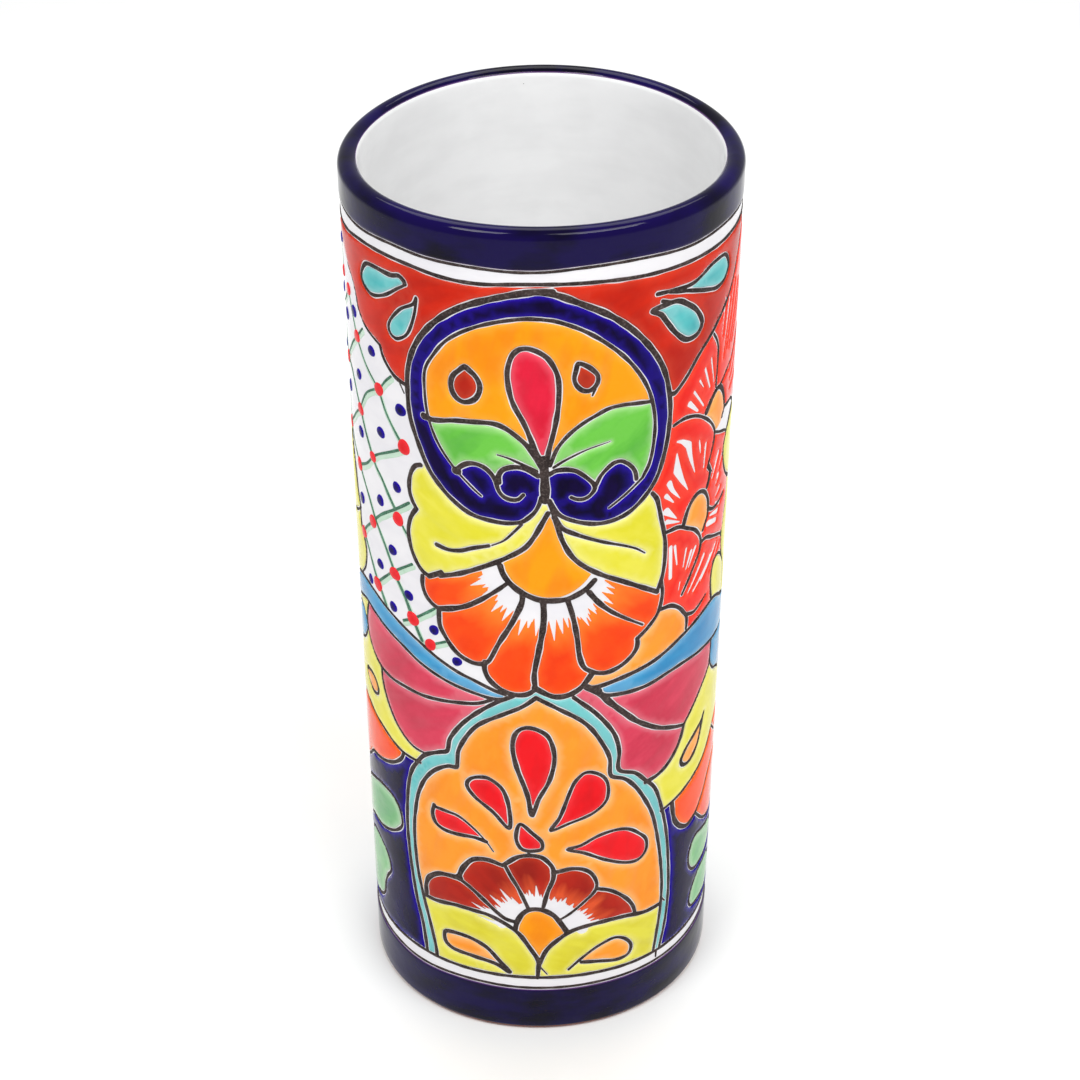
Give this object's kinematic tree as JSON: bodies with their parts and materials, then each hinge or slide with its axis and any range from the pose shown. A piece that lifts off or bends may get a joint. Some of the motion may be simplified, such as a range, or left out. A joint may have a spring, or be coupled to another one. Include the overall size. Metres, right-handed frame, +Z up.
{
  "type": "talavera pottery vase",
  "caption": "Tall straight cylindrical vase with a rounded lip, painted all round with raised glossy glaze fields between dark hand-drawn lines.",
  "frame": {"origin": "centre of the foot, on the surface that the vase stands on", "axes": "+Z up along the vase's axis; -Y is the front, where the painted motif is centred"},
  "size_m": [0.119, 0.119, 0.305],
  "materials": {
    "terracotta": "matt fired clay, bare under the foot",
    "white_glaze": "glossy opaque white with fine pinholes",
    "cobalt_glaze": "glossy deep cobalt, violet where it thins",
    "line_pigment": "matt raised brown-black brush line",
    "vermilion_glaze": "glossy, brushed tone changes",
    "turquoise_glaze": "glossy, pools darker",
    "amber_glaze": "glossy, pale where it thins",
    "crimson_glaze": "glossy, pink where it thins",
    "brick_glaze": "glossy, streaked white at the roots",
    "green_glaze": "glossy, pale at the edges",
    "yellow_glaze": "glossy, brushed tone changes",
    "flame_glaze": "glossy, streaked white at the roots",
    "feather_glaze": "glossy red with white brushed streaks",
    "sky_glaze": "glossy, brushed tone changes",
    "red_glaze": "glossy, pink where it thins",
    "orange_glaze": "glossy, pale where it thins",
    "leaf_glaze": "glossy pale green"
  },
  "bodies": {
    "root": {"clay_wall": "terracotta", "clay_base": "terracotta", "seam_coil": "terracotta", "lining_glaze": "white_glaze", "ground_glaze": "white_glaze", "rim_band": "cobalt_glaze", "foot_band": "cobalt_glaze", "ring_lines": "line_pigment", "spandrels": "vermilion_glaze", "spandrel_drops": "turquoise_glaze", "medallion_ring": "cobalt_glaze", "medallion_field": "amber_glaze", "medallion_drop": "crimson_glaze", "medallion_dots": "brick_glaze", "medallion_leaves": "green_glaze", "wings": "yellow_glaze", "bell": "amber_glaze", "petal_fan": "flame_glaze", "lattice_red_dots": "red_glaze", "lattice_navy_dots": "cobalt_glaze", "feather_panel": "feather_glaze", "feather_hearts": "orange_glaze", "swags": "sky_glaze", "drapes": "crimson_glaze", "side_leaves": "yellow_glaze", "side_leaf_drops": "orange_glaze", "side_petals": "flame_glaze", "cobalt_ground": "cobalt_glaze", "ground_leaves": "leaf_glaze", "arch_band": "turquoise_glaze", "arch_field": "orange_glaze", "arch_drops": "red_glaze", "arch_flower": "brick_glaze", "flower_heart": "amber_glaze", "foot_leaves": "yellow_glaze", "foot_leaf_drops": "orange_glaze"}
  },
  "joints": []
}
